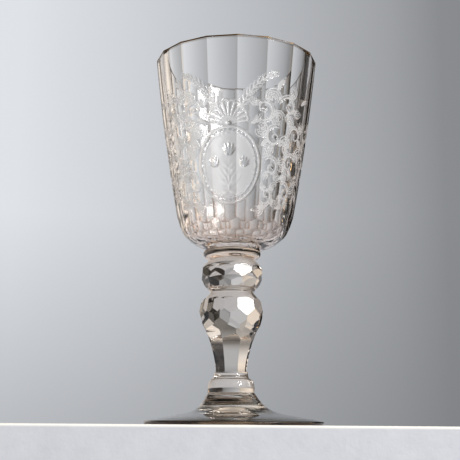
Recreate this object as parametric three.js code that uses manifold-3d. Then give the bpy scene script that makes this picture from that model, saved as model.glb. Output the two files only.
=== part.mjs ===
// A cut drinking goblet of the early eighteenth century: a faceted bucket bowl with a gilt lip, on a stem
// of separately gathered bits (collar, cut knop, ring, cut inverted baluster, ring, base knop) and a flared foot.
// Each bit was made hot, one at a time, and fused to the next on a flat seat.
// Millimetres, +Z up, the foot stands on Z = 0.
import * as THREE from "three";
import { mergeVertices } from "three/addons/utils/BufferGeometryUtils.js";
import Module from "manifold-3d";

const wasm = await Module();
wasm.setup();

// Driving dimensions. Heights inside a bit are counted from its own lower seat.
const foot = {
  height: 13.3,
  radius: 38,
  bossRadius: 10, // a little wider than the bit that stands on it
  edgeHeight: 1.4, // thickness of the rounded edge
  edgeBack: 2, // how far the top of the edge lies inside the rim
  edgeRun: 5, // the flare leaves the edge with this run and rise
  edgeRise: 1.7,
  bendRadius: 17.3, // where the flare turns up into the boss
  bendLevel: 5.8,
  bendRun: 4.4, // run and rise of its slope there
  bendRise: 1.95,
  bossRun: 1.6, // run and rise of its slope under the stem
  bossRise: 2.6,
  restWidth: 5.2, // the ground ring that the goblet stands on
  edgeRound: 1.2, // rounding between that ring and the rim
  kick: 2.4, // rise of the underside towards the middle
  kickRun: 7, // how flat the underside runs in from the ground ring
  pontilRadius: 8.5, // the polished hollow where the pontil rod was broken off
  pontilDepth: 0.9,
};
const baseKnop = { height: 6, radius: 10, sideHeight: 1.6, topRound: 2.4 };
const lowerRing = { height: 2.7, waist: 0.35 };
const baluster = {
  height: 34.2,
  girdleRadius: 14.45,
  girdleLevel: 25.6, // the widest place, under the round shoulder
  shoulderHandle: 3.9,
  neckHandle: 1.7,
  neckRun: 0.7,
  ankleRadius: 7.2, // of the blank, before the flats are cut
  ankleHandle: 10,
  bellyHandle: 6.6,
  bellyRun: 1,
  shaftApothem: 6.5, // half width across the flats at the foot of the shaft
  shaftHandle: 5,
  flareApothem: 12.3, // the same where the flats run out under the girdle
  flareLevel: 19.8,
  flareRun: 2.9,
  flareDrop: 4.3,
};
const neckRing = { height: 1.6, bulge: 0.45 };
const upperKnop = {
  height: 12.6,
  girdleRadius: 13.75,
  girdleLevel: 6.2,
  undersideRadius: 10.9,
  lowerHandle: 2.6,
  shoulderHandle: 2.6,
  neckHandle: 1.9,
};
const merese = { height: 4.3, radius: 12.45, tipLevel: 2.6, undercut: 0.6, crown: 1 };
const bowl = {
  height: 84.6,
  lipRadius: 35.75, // to the corners of the panels
  shoulderRadius: 25.35,
  shoulderLevel: 14, // where the wall turns in to the base
  wallSwell: 0.7, // how far the wall swells out between shoulder and lip
  panelFoot: 8, // level at which the panels run out
  panelFootRadius: 23.4,
  turnDrop: 7.8,
  turnRun: 1.5,
  baseRun: 8.8,
  baseRise: 1.7,
  lipWall: 2.3, // wall thickness at a panel corner
  shoulderWall: 3,
  floorThickness: 5.6,
  innerTurn: 7.5,
  floorRun: 12,
};
const gilding = { height: 0.7, edgeRound: 0.15 };

// Radii of the flat seats, each shared by the two bits that meet there.
const seat = {
  foot: 9.8,
  baseKnop: 7.7,
  lowerRing: 7.1,
  balusterTop: 9.2,
  ringTop: 9.5,
  knopTop: 8.9,
  bowlBase: 10.9,
};

// The hand-made stem stands this far to one side of the bowl and the foot's rim.
const stemOffset = -1.25;

// Cutting: level and apothem fix where a flat lies from the axis, and lean is how fast it moves out as it rises
// (mm per mm). Turns are the angles of the flats' middles in degrees, from the viewer's side (-Y) towards +X.
const knopFlats = 10;
const knopTurn = 21;
const shaftFlats = 8;
const shaftTurn = 0;
const bowlPanels = 17;
const panelTurn = 11;
const evenTurns = (count, first) => Array.from({ length: count }, (_, i) => first + (360 * i) / count);

const upperKnopCuts = [
  { level: 6.4, apothem: 12.8, lean: -0.06, turns: evenTurns(knopFlats, knopTurn) },
  { level: 6.4, apothem: 13.55, lean: 0.44, turns: evenTurns(knopFlats, knopTurn + 180 / knopFlats) },
];
// The baluster's rows were set by eye, so their spacing wanders and one flat is shallower than the rest.
const balusterCuts = [
  { level: 26.9, apothem: 12.65, lean: -0.2, turns: [-67, -37, -6, 28, 65, 100, 135, 171, 209, 249] },
  { level: 21.5, apothem: 12.4, lean: 0.25, turns: [-50, -19, 11, 48, 82, 117, 153, 189, 230] },
  { level: 21.5, apothem: 12.85, lean: 0.25, turns: [-88] },
];
const bowlCuts = [
  { level: 7.3, apothem: 22.3, lean: 0.68, turns: evenTurns(bowlPanels, panelTurn + 180 / bowlPanels) },
];

// Fineness of the round surfaces.
const roundSides = 64;
const ringSides = 48;
const curveSteps = 6;
const footSteps = 5;
const bowlSteps = 9;

const glass = (color) => new THREE.MeshStandardMaterial({ color, roughness: 0.03, metalness: 0 });
const gold = () => new THREE.MeshStandardMaterial({ color: 0x8a6a34, roughness: 0.35, metalness: 1 });

// Cut glass shows its flats as flats.
function cutGlass(color) {
  const material = glass(color);
  material.flatShading = true;
  return material;
}

const radians = THREE.MathUtils.degToRad;

// A body turned about Z from an outline of [radius, height] that starts and ends on the axis, rising.
function turned(outline, sides, turn = 0, steps = curveSteps) {
  const points = outline.getPoints(steps);
  const geometry = new THREE.LatheGeometry(points, sides);
  return geometry.rotateX(Math.PI / 2).rotateZ(radians(turn));
}

// A closed geometry as a solid that can be cut and joined.
function solidOf(geometry) {
  const bare = geometry.index ? geometry.toNonIndexed() : geometry.clone();
  bare.deleteAttribute("normal");
  bare.deleteAttribute("uv");
  const merged = mergeVertices(bare, 1e-4);
  const corners = [];
  for (let i = 0; i < merged.index.count; i += 3) {
    const [a, b, c] = [0, 1, 2].map((k) => merged.index.getX(i + k));
    if (a !== b && b !== c && c !== a) corners.push(a, b, c);
  }
  const vertProperties = new Float32Array(merged.attributes.position.array);
  return new wasm.Manifold(new wasm.Mesh({ numProp: 3, vertProperties, triVerts: new Uint32Array(corners) }));
}

// The way back, to a geometry that a mesh can hold.
function geometryOf(solid) {
  const { numProp, numVert, vertProperties, triVerts } = solid.getMesh();
  const position = new Float32Array(numVert * 3);
  for (let i = 0; i < numVert; i++) {
    position.set(vertProperties.subarray(i * numProp, i * numProp + 3), i * 3);
  }
  const geometry = new THREE.BufferGeometry();
  geometry.setAttribute("position", new THREE.BufferAttribute(position, 3));
  geometry.setIndex(new THREE.BufferAttribute(new Uint32Array(triVerts), 1));
  geometry.computeVertexNormals();
  return geometry;
}

// The angle about Z of a direction that lies turn degrees from the viewer's side towards +X.
const azimuth = (turn) => turn - 90;

// Grinds rows of flats round a solid.
function grind(solid, rows) {
  let ground = solid;
  for (const { level, apothem, lean, turns } of rows) {
    const block = 4 * apothem;
    for (const turn of turns) {
      const wheel = new THREE.BoxGeometry(block, block, block)
        .translate(block / 2, 0, 0)
        .rotateY(Math.atan(lean))
        .translate(apothem, 0, level)
        .rotateZ(radians(azimuth(turn)));
      ground = ground.subtract(solidOf(wheel));
    }
  }
  return ground;
}

// A body with flat sides: its first corner lies half a side past the middle of the first flat.
function prism(outline, count, turn) {
  return solidOf(turned(outline, count, turn + 180 / count));
}

// Moves a body sideways by an amount that grows evenly from one level to another.
function leanOver(geometry, from, to, shift) {
  const position = geometry.attributes.position;
  for (let i = 0; i < position.count; i++) {
    const share = THREE.MathUtils.clamp((position.getZ(i) - from) / (to - from), 0, 1);
    position.setX(i, position.getX(i) + shift * share);
  }
  geometry.computeVertexNormals();
  return geometry;
}

// The foot: a solid boss that flares to a thin rounded edge, hollowed below so that it stands on a ground ring.
// The boss leans over to where the stem stands.
function footGeometry() {
  const { height, radius, edgeHeight, edgeBack, restWidth, edgeRound, kick } = foot;
  const { bendRadius, bendLevel, bendRun, bendRise } = foot;
  const restOuter = radius - edgeRound;
  const restInner = restOuter - restWidth;
  const outline = new THREE.Path();
  outline.moveTo(0, kick + foot.pontilDepth);
  outline.quadraticCurveTo(foot.pontilRadius / 2, kick + foot.pontilDepth, foot.pontilRadius, kick);
  outline.quadraticCurveTo(restInner - foot.kickRun, kick / 2, restInner, 0);
  outline.lineTo(restOuter, 0);
  outline.quadraticCurveTo(radius, 0, radius, edgeHeight / 2);
  outline.quadraticCurveTo(radius, edgeHeight, radius - edgeBack, edgeHeight);
  outline.bezierCurveTo(
    radius - edgeBack - foot.edgeRun, edgeHeight + foot.edgeRise,
    bendRadius + bendRun, bendLevel - bendRise,
    bendRadius, bendLevel,
  );
  outline.bezierCurveTo(
    bendRadius - bendRun, bendLevel + bendRise,
    foot.bossRadius + foot.bossRun, height - foot.bossRise,
    foot.bossRadius, height,
  );
  outline.lineTo(0, height);
  return leanOver(turned(outline, roundSides, 0, footSteps), edgeHeight, height, stemOffset);
}

// The cushion-shaped knop that the stem stands on.
function baseKnopGeometry() {
  const { height, radius, sideHeight, topRound } = baseKnop;
  const outline = new THREE.Path();
  outline.moveTo(0, 0);
  outline.lineTo(seat.foot, 0);
  outline.lineTo(radius, sideHeight);
  outline.bezierCurveTo(
    radius, sideHeight + topRound,
    seat.baseKnop + topRound / 2, height,
    seat.baseKnop, height,
  );
  outline.lineTo(0, height);
  return turned(outline, ringSides);
}

// The short waisted ring between the base knop and the shaft of the baluster.
function lowerRingGeometry() {
  const { height, waist } = lowerRing;
  const middle = (seat.baseKnop + seat.lowerRing) / 2 - waist;
  const outline = new THREE.Path();
  outline.moveTo(0, 0);
  outline.lineTo(seat.baseKnop, 0);
  outline.quadraticCurveTo(middle, height / 2, seat.lowerRing, height);
  outline.lineTo(0, height);
  return turned(outline, ringSides);
}

// The inverted baluster: a round shoulder, two crossed rows of flats over the girdle, long flats down the shaft.
function balusterGeometry() {
  const { height, girdleRadius, girdleLevel, flareApothem, flareLevel, flareRun, flareDrop } = baluster;
  const blank = new THREE.Path();
  blank.moveTo(0, 0);
  blank.lineTo(baluster.ankleRadius, 0);
  blank.bezierCurveTo(
    baluster.ankleRadius, baluster.ankleHandle,
    girdleRadius - baluster.bellyRun, girdleLevel - baluster.bellyHandle,
    girdleRadius, girdleLevel,
  );
  blank.bezierCurveTo(
    girdleRadius, girdleLevel + baluster.shoulderHandle,
    seat.balusterTop + baluster.neckRun, height - baluster.neckHandle,
    seat.balusterTop, height,
  );
  blank.lineTo(0, height);

  const flareSlope = flareRun / flareDrop;
  const shaft = new THREE.Path();
  shaft.moveTo(0, 0);
  const corner = (apothem) => apothem / Math.cos(Math.PI / shaftFlats);
  shaft.lineTo(corner(baluster.shaftApothem), 0);
  shaft.bezierCurveTo(
    corner(baluster.shaftApothem), baluster.shaftHandle,
    corner(flareApothem - flareRun), flareLevel - flareDrop,
    corner(flareApothem), flareLevel,
  );
  shaft.lineTo(corner(flareApothem + (height - flareLevel) * flareSlope), height);
  shaft.lineTo(0, height);

  const fluted = solidOf(turned(blank, roundSides)).intersect(prism(shaft, shaftFlats, shaftTurn));
  return geometryOf(grind(fluted, balusterCuts));
}

// The thin round ring between baluster and knop.
function neckRingGeometry() {
  const { height, bulge } = neckRing;
  const outline = new THREE.Path();
  outline.moveTo(0, 0);
  outline.lineTo(seat.balusterTop, 0);
  outline.bezierCurveTo(
    seat.balusterTop + 2 * bulge, height / 4,
    seat.ringTop + 2 * bulge, (3 * height) / 4,
    seat.ringTop, height,
  );
  outline.lineTo(0, height);
  return turned(outline, ringSides);
}

// The upper knop: a round bun with two crossed rows of flats.
function upperKnopGeometry() {
  const { height, girdleRadius, girdleLevel, lowerHandle, shoulderHandle, neckHandle } = upperKnop;
  const blank = new THREE.Path();
  blank.moveTo(0, 0);
  blank.lineTo(upperKnop.undersideRadius, 0);
  blank.quadraticCurveTo(girdleRadius, girdleLevel - lowerHandle, girdleRadius, girdleLevel);
  blank.bezierCurveTo(
    girdleRadius, girdleLevel + shoulderHandle,
    seat.knopTop + neckHandle, height - neckHandle / 2,
    seat.knopTop, height,
  );
  blank.lineTo(0, height);
  return geometryOf(grind(solidOf(turned(blank, roundSides)), upperKnopCuts));
}

// The merese: the flat collar that joins bowl and stem.
function mereseGeometry() {
  const { height, radius, tipLevel, undercut, crown } = merese;
  const outline = new THREE.Path();
  outline.moveTo(0, 0);
  outline.lineTo(seat.knopTop + undercut, 0);
  outline.quadraticCurveTo(radius, undercut, radius, tipLevel);
  outline.quadraticCurveTo(radius, height - crown / 2, seat.bowlBase, height);
  outline.lineTo(0, height);
  return turned(outline, ringSides);
}

// The distance from the axis to a panel corner at a height on the straight of the wall.
function wallRadius(level) {
  const share = (level - bowl.shoulderLevel) / (bowl.height - bowl.shoulderLevel);
  const straight = bowl.shoulderRadius + (bowl.lipRadius - bowl.shoulderRadius) * share;
  return straight + bowl.wallSwell * 4 * share * (1 - share);
}

// The bowl: tall panels over a row of small flats that straddle their edges, and a smooth round inside.
function bowlGeometry() {
  const { height, shoulderRadius, shoulderLevel, lipWall, shoulderWall } = bowl;
  const wallSteps = 5;
  const overlap = 1; // lets the inside run out through the lip

  const blank = new THREE.Path();
  blank.moveTo(0, 0);
  blank.lineTo(seat.bowlBase, 0);
  blank.bezierCurveTo(
    seat.bowlBase + bowl.baseRun, bowl.baseRise,
    shoulderRadius - bowl.turnRun, shoulderLevel - bowl.turnDrop,
    shoulderRadius, shoulderLevel,
  );
  blank.lineTo(bowl.lipRadius + 4 * bowl.wallSwell, height);
  blank.lineTo(0, height);

  const panels = new THREE.Path();
  panels.moveTo(0, 0);
  panels.lineTo(bowl.panelFootRadius, 0);
  panels.lineTo(bowl.panelFootRadius, bowl.panelFoot);
  for (let i = 0; i <= wallSteps; i++) {
    const level = shoulderLevel + ((height - shoulderLevel) * i) / wallSteps;
    panels.lineTo(wallRadius(level), level);
  }
  panels.lineTo(0, height);

  const inside = new THREE.Path();
  const innerShoulder = shoulderRadius - shoulderWall;
  const innerLip = bowl.lipRadius - lipWall;
  const innerSlope = (innerLip - innerShoulder) / (height - shoulderLevel);
  inside.moveTo(0, bowl.floorThickness);
  inside.bezierCurveTo(
    bowl.floorRun, bowl.floorThickness,
    innerShoulder, shoulderLevel - bowl.innerTurn / 2,
    innerShoulder, shoulderLevel,
  );
  for (let i = 1; i <= wallSteps; i++) {
    const level = shoulderLevel + ((height - shoulderLevel) * i) / wallSteps;
    const wall = shoulderWall + ((lipWall - shoulderWall) * i) / wallSteps;
    inside.lineTo(wallRadius(level) - wall, level);
  }
  inside.lineTo(innerLip + innerSlope * overlap, height + overlap);
  inside.lineTo(0, height + overlap);

  const blown = solidOf(turned(blank, roundSides, 0, bowlSteps));
  const hollow = solidOf(turned(inside, roundSides, 0, bowlSteps));
  const panelled = blown.intersect(prism(panels, bowlPanels, panelTurn));
  return geometryOf(grind(panelled, bowlCuts).subtract(hollow));
}

// The gilt lip: a thin layer over the whole top of the wall, with its edges rubbed round.
function gildingGeometry() {
  const { height, edgeRound } = gilding;
  const overlap = 1;
  const outer = new THREE.Path();
  outer.moveTo(0, 0);
  outer.lineTo(bowl.lipRadius, 0);
  outer.lineTo(bowl.lipRadius, height - edgeRound);
  outer.lineTo(bowl.lipRadius - edgeRound, height);
  outer.lineTo(0, height);
  const inner = new THREE.Path();
  const innerLip = bowl.lipRadius - bowl.lipWall;
  inner.moveTo(0, -overlap);
  inner.lineTo(innerLip, -overlap);
  inner.lineTo(innerLip, height - edgeRound);
  inner.lineTo(innerLip + edgeRound + overlap, height + overlap);
  inner.lineTo(0, height + overlap);
  return geometryOf(prism(outer, bowlPanels, panelTurn).subtract(solidOf(turned(inner, roundSides))));
}

// Assembly: the bits stand on each other, seat on seat.
const goblet = new THREE.Group();
let stackLevel = 0;
function stack(name, geometry, height, material, offset = 0) {
  const mesh = new THREE.Mesh(geometry, material);
  mesh.name = name;
  mesh.position.set(offset, 0, stackLevel);
  goblet.add(mesh);
  stackLevel += height;
}

stack("foot", footGeometry(), foot.height, glass(0xe8e2dc));
stack("base_knop", baseKnopGeometry(), baseKnop.height, glass(0xe6e2de), stemOffset);
stack("lower_ring", lowerRingGeometry(), lowerRing.height, glass(0xe9e6e2), stemOffset);
stack("baluster", balusterGeometry(), baluster.height, cutGlass(0xdedad6), stemOffset);
stack("neck_ring", neckRingGeometry(), neckRing.height, glass(0xe9e6e2), stemOffset);
stack("upper_knop", upperKnopGeometry(), upperKnop.height, cutGlass(0xdedad6), stemOffset);
stack("merese", mereseGeometry(), merese.height, glass(0xe9ddd2), stemOffset);
stack("bowl", bowlGeometry(), bowl.height, cutGlass(0xeae4de));
stack("rim_gilding", gildingGeometry(), gilding.height, gold());

export default goblet;
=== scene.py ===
"""Looks for the cut goblet: polished glass bits, a wheel-engraved bowl and a worn gilt lip."""

import math

import bmesh
import bpy
import numpy as np
from mathutils import Matrix, Vector


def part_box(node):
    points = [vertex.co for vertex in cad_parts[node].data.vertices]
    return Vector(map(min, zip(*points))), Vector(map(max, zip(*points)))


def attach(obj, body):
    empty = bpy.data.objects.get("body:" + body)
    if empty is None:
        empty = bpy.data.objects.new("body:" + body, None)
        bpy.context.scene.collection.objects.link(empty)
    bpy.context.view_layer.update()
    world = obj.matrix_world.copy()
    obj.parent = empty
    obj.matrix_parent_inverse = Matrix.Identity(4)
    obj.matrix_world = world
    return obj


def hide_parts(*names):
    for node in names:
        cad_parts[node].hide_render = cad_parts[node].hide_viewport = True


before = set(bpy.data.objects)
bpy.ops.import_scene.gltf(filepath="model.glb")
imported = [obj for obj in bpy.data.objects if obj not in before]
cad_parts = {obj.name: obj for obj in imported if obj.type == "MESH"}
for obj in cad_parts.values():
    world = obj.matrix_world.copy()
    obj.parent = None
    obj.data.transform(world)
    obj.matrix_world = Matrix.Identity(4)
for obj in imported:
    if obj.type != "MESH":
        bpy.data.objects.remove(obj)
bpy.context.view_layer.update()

MM = 0.001


# Places and sizes from the frame, in millimetres
def low(cad_node):
    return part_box(cad_node)[0] / MM


def high(cad_node):
    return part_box(cad_node)[1] / MM


def height(cad_node):
    return high(cad_node).z - low(cad_node).z


STEM_X = (low("base_knop").x + high("base_knop").x) / 2

# Radii of the flat seats where two bits are fused, each named by the lower bit
SEAT = {
    "foot": 9.8,
    "base_knop": 7.7,
    "lower_ring": 7.1,
    "baluster": 9.2,
    "neck_ring": 9.5,
    "upper_knop": 8.9,
    "merese": 10.9,
}

ROUND_SIDES = 160
KNOP_FLATS = 10
KNOP_TURN = 21
SHAFT_FLATS = 8
SHAFT_APOTHEM = 6.5
BOWL_PANELS = 17
PANEL_STEP = 360 / BOWL_PANELS
PANEL_TURN = 11


def even_turns(count, first):
    return [first + 360 * i / count for i in range(count)]


# Cut flats: level and apothem of a flat's middle, its lean outwards as it rises, and the turns in degrees
# from the viewer's side (-Y) towards +X
KNOP_CUTS = [
    (6.4, 12.8, -0.06, even_turns(KNOP_FLATS, KNOP_TURN)),
    (6.4, 13.55, 0.44, even_turns(KNOP_FLATS, KNOP_TURN + 180 / KNOP_FLATS)),
]
BALUSTER_CUTS = [
    (26.9, 12.65, -0.2, [-67, -37, -6, 28, 65, 100, 135, 171, 209, 249]),
    (21.5, 12.4, 0.25, [-50, -19, 11, 48, 82, 117, 153, 189, 230]),
    (21.5, 12.85, 0.25, [-88]),
]
# The same for the rows round the bowl's base, with the share of a step that each row is turned by
BASE_FLATS = [(7.3, 22.3, 0.68, 0.5), (3.4, 18.5, 1.34, 0), (1.2, 14.5, 2.55, 0.5)]


# Outlines
def quad(p0, p1, p2, steps=12):
    """The points of a quadratic curve after its first one."""
    t = np.linspace(0, 1, steps + 1)[1:, None]
    p0, p1, p2 = map(np.array, (p0, p1, p2))
    return [tuple(p) for p in (1 - t) ** 2 * p0 + 2 * t * (1 - t) * p1 + t**2 * p2]


def cubic(p0, p1, p2, p3, steps=16):
    """The points of a cubic curve after its first one."""
    t = np.linspace(0, 1, steps + 1)[1:, None]
    p0, p1, p2, p3 = map(np.array, (p0, p1, p2, p3))
    near = (1 - t) ** 3 * p0 + 3 * t * (1 - t) ** 2 * p1
    far = 3 * t**2 * (1 - t) * p2 + t**3 * p3
    return [tuple(p) for p in near + far]


# Shader nodes
def node(tree, kind, **values):
    """A new node. A value that names no property of it sets the input of that name."""
    made = tree.nodes.new(kind)
    for key, value in values.items():
        if hasattr(made, key):
            setattr(made, key, value)
        else:
            made.inputs[key.replace("_", " ")].default_value = value
    return made


def feed(tree, source, socket):
    """Sets a socket to a plain value, or links another node's output to it."""
    if isinstance(source, (tuple, float, int)):
        socket.default_value = source
    else:
        tree.links.new(source, socket)


def mix(tree, factor, a, b):
    """The colour a where factor is 0, b where it is 1."""
    blend = node(tree, "ShaderNodeMix", data_type="RGBA")
    for source, name in ((factor, "Factor"), (a, "A"), (b, "B")):
        feed(tree, source, next(s for s in blend.inputs if s.name == name and s.enabled))
    return next(s for s in blend.outputs if s.enabled)


def math_node(tree, operation, *sources):
    made = node(tree, "ShaderNodeMath", operation=operation)
    for k, source in enumerate(sources):
        feed(tree, source, made.inputs[k])
    return made.outputs["Value"]


def between(tree, source, start, end, first=0.0, last=1.0):
    """first up to start, last from end on."""
    place = node(tree, "ShaderNodeMapRange", From_Min=start, From_Max=end, To_Min=first, To_Max=last)
    tree.links.new(source, place.inputs["Value"])
    return place.outputs["Result"]


def place_parts(tree, space="Object"):
    """The x, y and z of where a point is."""
    parts = node(tree, "ShaderNodeSeparateXYZ")
    tree.links.new(node(tree, "ShaderNodeTexCoord").outputs[space], parts.inputs["Vector"])
    return parts.outputs


def noise(tree, scale, detail, roughness=0.5):
    """Noise that stays with the object, its coarsest features about 1 / scale metres wide."""
    made = node(tree, "ShaderNodeTexNoise", Scale=scale, Detail=detail, Roughness=roughness)
    tree.links.new(node(tree, "ShaderNodeTexCoord").outputs["Object"], made.inputs["Vector"])
    return made.outputs["Fac"]


def bump(tree, source, strength, depth):
    made = node(tree, "ShaderNodeBump", Strength=strength, Distance=depth)
    tree.links.new(source, made.inputs["Height"])
    return made.outputs["Normal"]


def attribute(tree, name):
    return node(tree, "ShaderNodeAttribute", attribute_name=name).outputs["Fac"]


def tones(tree, source, stops):
    """A colour ramp through stops of (place, colour)."""
    made = node(tree, "ShaderNodeValToRGB")
    elements = made.color_ramp.elements
    for k, (place, colour) in enumerate(stops):
        stop = elements[k] if k < 2 else elements.new(place)
        stop.position = place
        stop.color = (*colour, 1)
    tree.links.new(source, made.inputs["Fac"])
    return made.outputs["Color"]


def new_material(name):
    material = bpy.data.materials.new(name)
    material.use_nodes = True
    tree = material.node_tree
    tree.nodes.clear()
    return material, tree


def show(tree, shader):
    """Makes a shader's output the surface of its material."""
    out = node(tree, "ShaderNodeOutputMaterial")
    tree.links.new(shader, out.inputs["Surface"])


# Materials
GLASS_IOR = 1.52
# Painted shade for the ridges of the bowl's cut flats
RIDGE_PAINTED_SHADE = (0.52, 0.29, 0.17, 1)
# Painted shade for the dark band round the foot's rim
RIM_PAINTED_SHADE = (0.16, 0.08, 0.035, 1)
# How much of the amber thick glass takes, how rough smudges and matt engraving are, and how much of the
# light that passes clear glass the engraving stops
THICK_SHARE = 0.6
SMUDGE_ROUGHNESS = 0.05
MATT_ROUGHNESS = 0.5
MATT_LOSS = 0.4


def glass_material(name, tint, amber, wave=0.0, thick=None, steep=0.4, painted_shade=RIDGE_PAINTED_SHADE):
    """Polished soda glass. Each surface lets tint through, and amber where one looks along it, from steep on
    (0 straight, 1 along), or down from the first level in thick to the second, in metres. The last argument
    is a colour of painted shade, laid where the mesh marks it, and wave is the height in metres of the
    unevenness left by hand work."""
    material, tree = new_material(name)
    shader = node(tree, "ShaderNodeBsdfPrincipled", IOR=GLASS_IOR)

    # Seen along its surface the glass turns amber: partly the warmth of a long way through it,
    # partly painted shade that darkens the stem's side facets
    share = between(tree, node(tree, "ShaderNodeLayerWeight", Blend=0.5).outputs["Facing"], steep, 1.0)
    if thick:
        depth = between(tree, place_parts(tree)["Z"], *thick, 0.0, THICK_SHARE)
        share = math_node(tree, "MAXIMUM", share, depth)
    colour = mix(tree, share, (*tint, 1), (*amber, 1))
    # The painted shade colour is laid where the mesh's attribute marks painted shade
    feed(tree, mix(tree, attribute(tree, "painted_shade"), colour, painted_shade), shader.inputs["Base Color"])

    # Fingermarks and rubbed places make the polish a little uneven, and engraved strokes are matt
    matt = attribute(tree, "matt")
    smudge = between(tree, noise(tree, 90.0, 4.0, 0.6), 0.45, 0.8, 0.0, SMUDGE_ROUGHNESS)
    feed(tree, math_node(tree, "MULTIPLY_ADD", matt, MATT_ROUGHNESS, smudge), shader.inputs["Roughness"])
    feed(tree, math_node(tree, "MULTIPLY_ADD", matt, -MATT_LOSS, 1.0), shader.inputs["Transmission Weight"])
    if wave:
        feed(tree, bump(tree, noise(tree, 130.0, 1.0), 1.0, wave), shader.inputs["Normal"])
    show(tree, shader.outputs["BSDF"])
    return material


def fused_material():
    """Where two bits are fused there is no surface to see."""
    material, tree = new_material("fused seat")
    show(tree, node(tree, "ShaderNodeBsdfTransparent").outputs["BSDF"])
    return material


def gilding_material():
    """Fired gold leaf, browned and rubbed through to the glass in places."""
    material, tree = new_material("worn gilding")
    patches = noise(tree, 160.0, 5.0)
    gold = node(tree, "ShaderNodeBsdfPrincipled", Metallic=1.0)
    browned = tones(tree, patches, [(0.35, (0.07, 0.038, 0.018)), (0.72, (0.36, 0.23, 0.09))])
    feed(tree, browned, gold.inputs["Base Color"])
    feed(tree, between(tree, patches, 0.0, 1.0, 0.25, 0.6), gold.inputs["Roughness"])
    glass = node(tree, "ShaderNodeBsdfPrincipled", Roughness=0.08, IOR=GLASS_IOR, Transmission_Weight=1.0)
    glass.inputs["Base Color"].default_value = (0.96, 0.93, 0.91, 1)

    # It is rubbed off the inner side, patchy round worn_turn and thin on the far side, all in radians
    worn_turn, worn_reach, worn_end = 0.42, 0.36, 0.5
    far_start, far_end = 1.9, 2.3
    x, y, _ = place_parts(tree)
    turn = math_node(tree, "ARCTAN2", x, math_node(tree, "MULTIPLY", y, -1.0))
    from_worn = math_node(tree, "ABSOLUTE", math_node(tree, "SUBTRACT", turn, worn_turn))
    stretch = between(tree, from_worn, worn_end, worn_reach)
    rubbed = math_node(tree, "MULTIPLY", stretch, between(tree, patches, 0.62, 0.42))
    far_side = between(tree, math_node(tree, "ABSOLUTE", turn), far_start, far_end)
    worn = math_node(tree, "MULTIPLY", rubbed, 0.85)
    thin = math_node(tree, "MAXIMUM", worn, math_node(tree, "MULTIPLY", far_side, 0.75))
    bare = math_node(tree, "MAXIMUM", thin, attribute(tree, "inner"))
    surface = node(tree, "ShaderNodeMixShader")
    for k, source in enumerate((bare, gold.outputs["BSDF"], glass.outputs["BSDF"])):
        feed(tree, source, surface.inputs[k])
    show(tree, surface.outputs["Shader"])
    return material


FUSED = fused_material()


# Mesh building
def finish_piece(mesh, name, cad_node, material, x=0.0):
    """Puts a mesh built in millimetres about its own axis where its CAD node is, with its axis at x."""
    place = Matrix.Translation((x * MM, 0, low(cad_node).z * MM))
    mesh.transform(place @ Matrix.Scale(MM, 4))
    piece = bpy.data.objects.new(name, mesh)
    bpy.context.scene.collection.objects.link(piece)
    mesh.materials.append(material)
    mesh.materials.append(FUSED)
    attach(piece, "root")
    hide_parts(cad_node)


def to_mesh(bm, name):
    mesh = bpy.data.meshes.new(name)
    bm.to_mesh(mesh)
    bm.free()
    return mesh


def lathe(outline, sides, lean=None):
    """A closed body turned about Z from (radius, level) points that start and end on the axis."""
    bm = bmesh.new()
    rings = []
    for radius, level in outline:
        if radius < 1e-6:
            rings.append([bm.verts.new((0, 0, level))])
            continue
        shift = lean(level) if lean else 0
        ring = []
        for i in range(sides):
            a = 2 * math.pi * i / sides
            ring.append(bm.verts.new((radius * math.sin(a) + shift, -radius * math.cos(a), level)))
        rings.append(ring)
    for below, above in zip(rings, rings[1:]):
        for i in range(sides):
            j = (i + 1) % sides
            if len(below) == 1:
                bm.faces.new((below[0], above[j], above[i]))
            elif len(above) == 1:
                bm.faces.new((below[i], below[j], above[0]))
            else:
                bm.faces.new((below[i], below[j], above[j], above[i]))
    bm.normal_update()
    return bm


def mark_fused(bm, level, radius, centre_x=0.0, flats=0):
    """Gives a flat seat's faces the second material. The seat is a disc, or has flats round its radius."""
    for face in bm.faces:
        c = face.calc_center_median()
        if abs(face.normal.z) < 0.999 or abs(c.z - level) > 1e-4:
            continue
        reach = math.hypot(c.x - centre_x, c.y)
        if flats:
            step = 360 / flats
            angle = math.degrees(math.atan2(c.x - centre_x, -c.y))
            reach *= math.cos(math.radians((angle + step / 2) % step - step / 2))
        if reach < radius:
            face.material_index = 1


def top_faces(bm, top):
    return [f for f in bm.faces if f.normal.z > 0.999 and f.calc_center_median().z > top - 1e-4]


def lies_on(face, point, normal):
    off = (face.calc_center_median() - point).dot(normal)
    return face.normal.dot(normal) > 0.99999 and abs(off) < 1e-3


def shade(bm, sharp_angle=25, flat_planes=()):
    """Smooth faces with sharp edges at steep bends, and truly flat faces on the given planes."""
    bm.normal_update()
    flats = {face for face in bm.faces if any(lies_on(face, *plane) for plane in flat_planes)}
    for face in bm.faces:
        face.smooth = True
    limit = math.radians(sharp_angle)
    for edge in bm.edges:
        if len(edge.link_faces) == 2:
            a, b = edge.link_faces
            edge.smooth = a not in flats and b not in flats and edge.calc_face_angle(0) < limit


def cut_planes(rows):
    """The points and outward normals of rows of flats."""
    planes = []
    for level, apothem, lean, turns in rows:
        for turn in turns:
            a = math.radians(turn)
            out = Vector((math.sin(a), -math.cos(a), 0))
            point = out * apothem + Vector((0, 0, level))
            planes.append((point, (out - Vector((0, 0, lean))).normalized()))
    return planes


def grind(bm, planes):
    """Cuts away what lies outside each plane and closes the body with a flat."""
    for point, normal in planes:
        everything = bm.verts[:] + bm.edges[:] + bm.faces[:]
        cut = bmesh.ops.bisect_plane(
            bm, geom=everything, dist=1e-5, plane_co=point, plane_no=normal, clear_outer=True
        )
        rim = [g for g in cut["geom_cut"] if isinstance(g, bmesh.types.BMEdge)]
        if rim:
            bmesh.ops.edgenet_fill(bm, edges=rim)
    bmesh.ops.recalc_face_normals(bm, faces=bm.faces[:])


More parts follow.
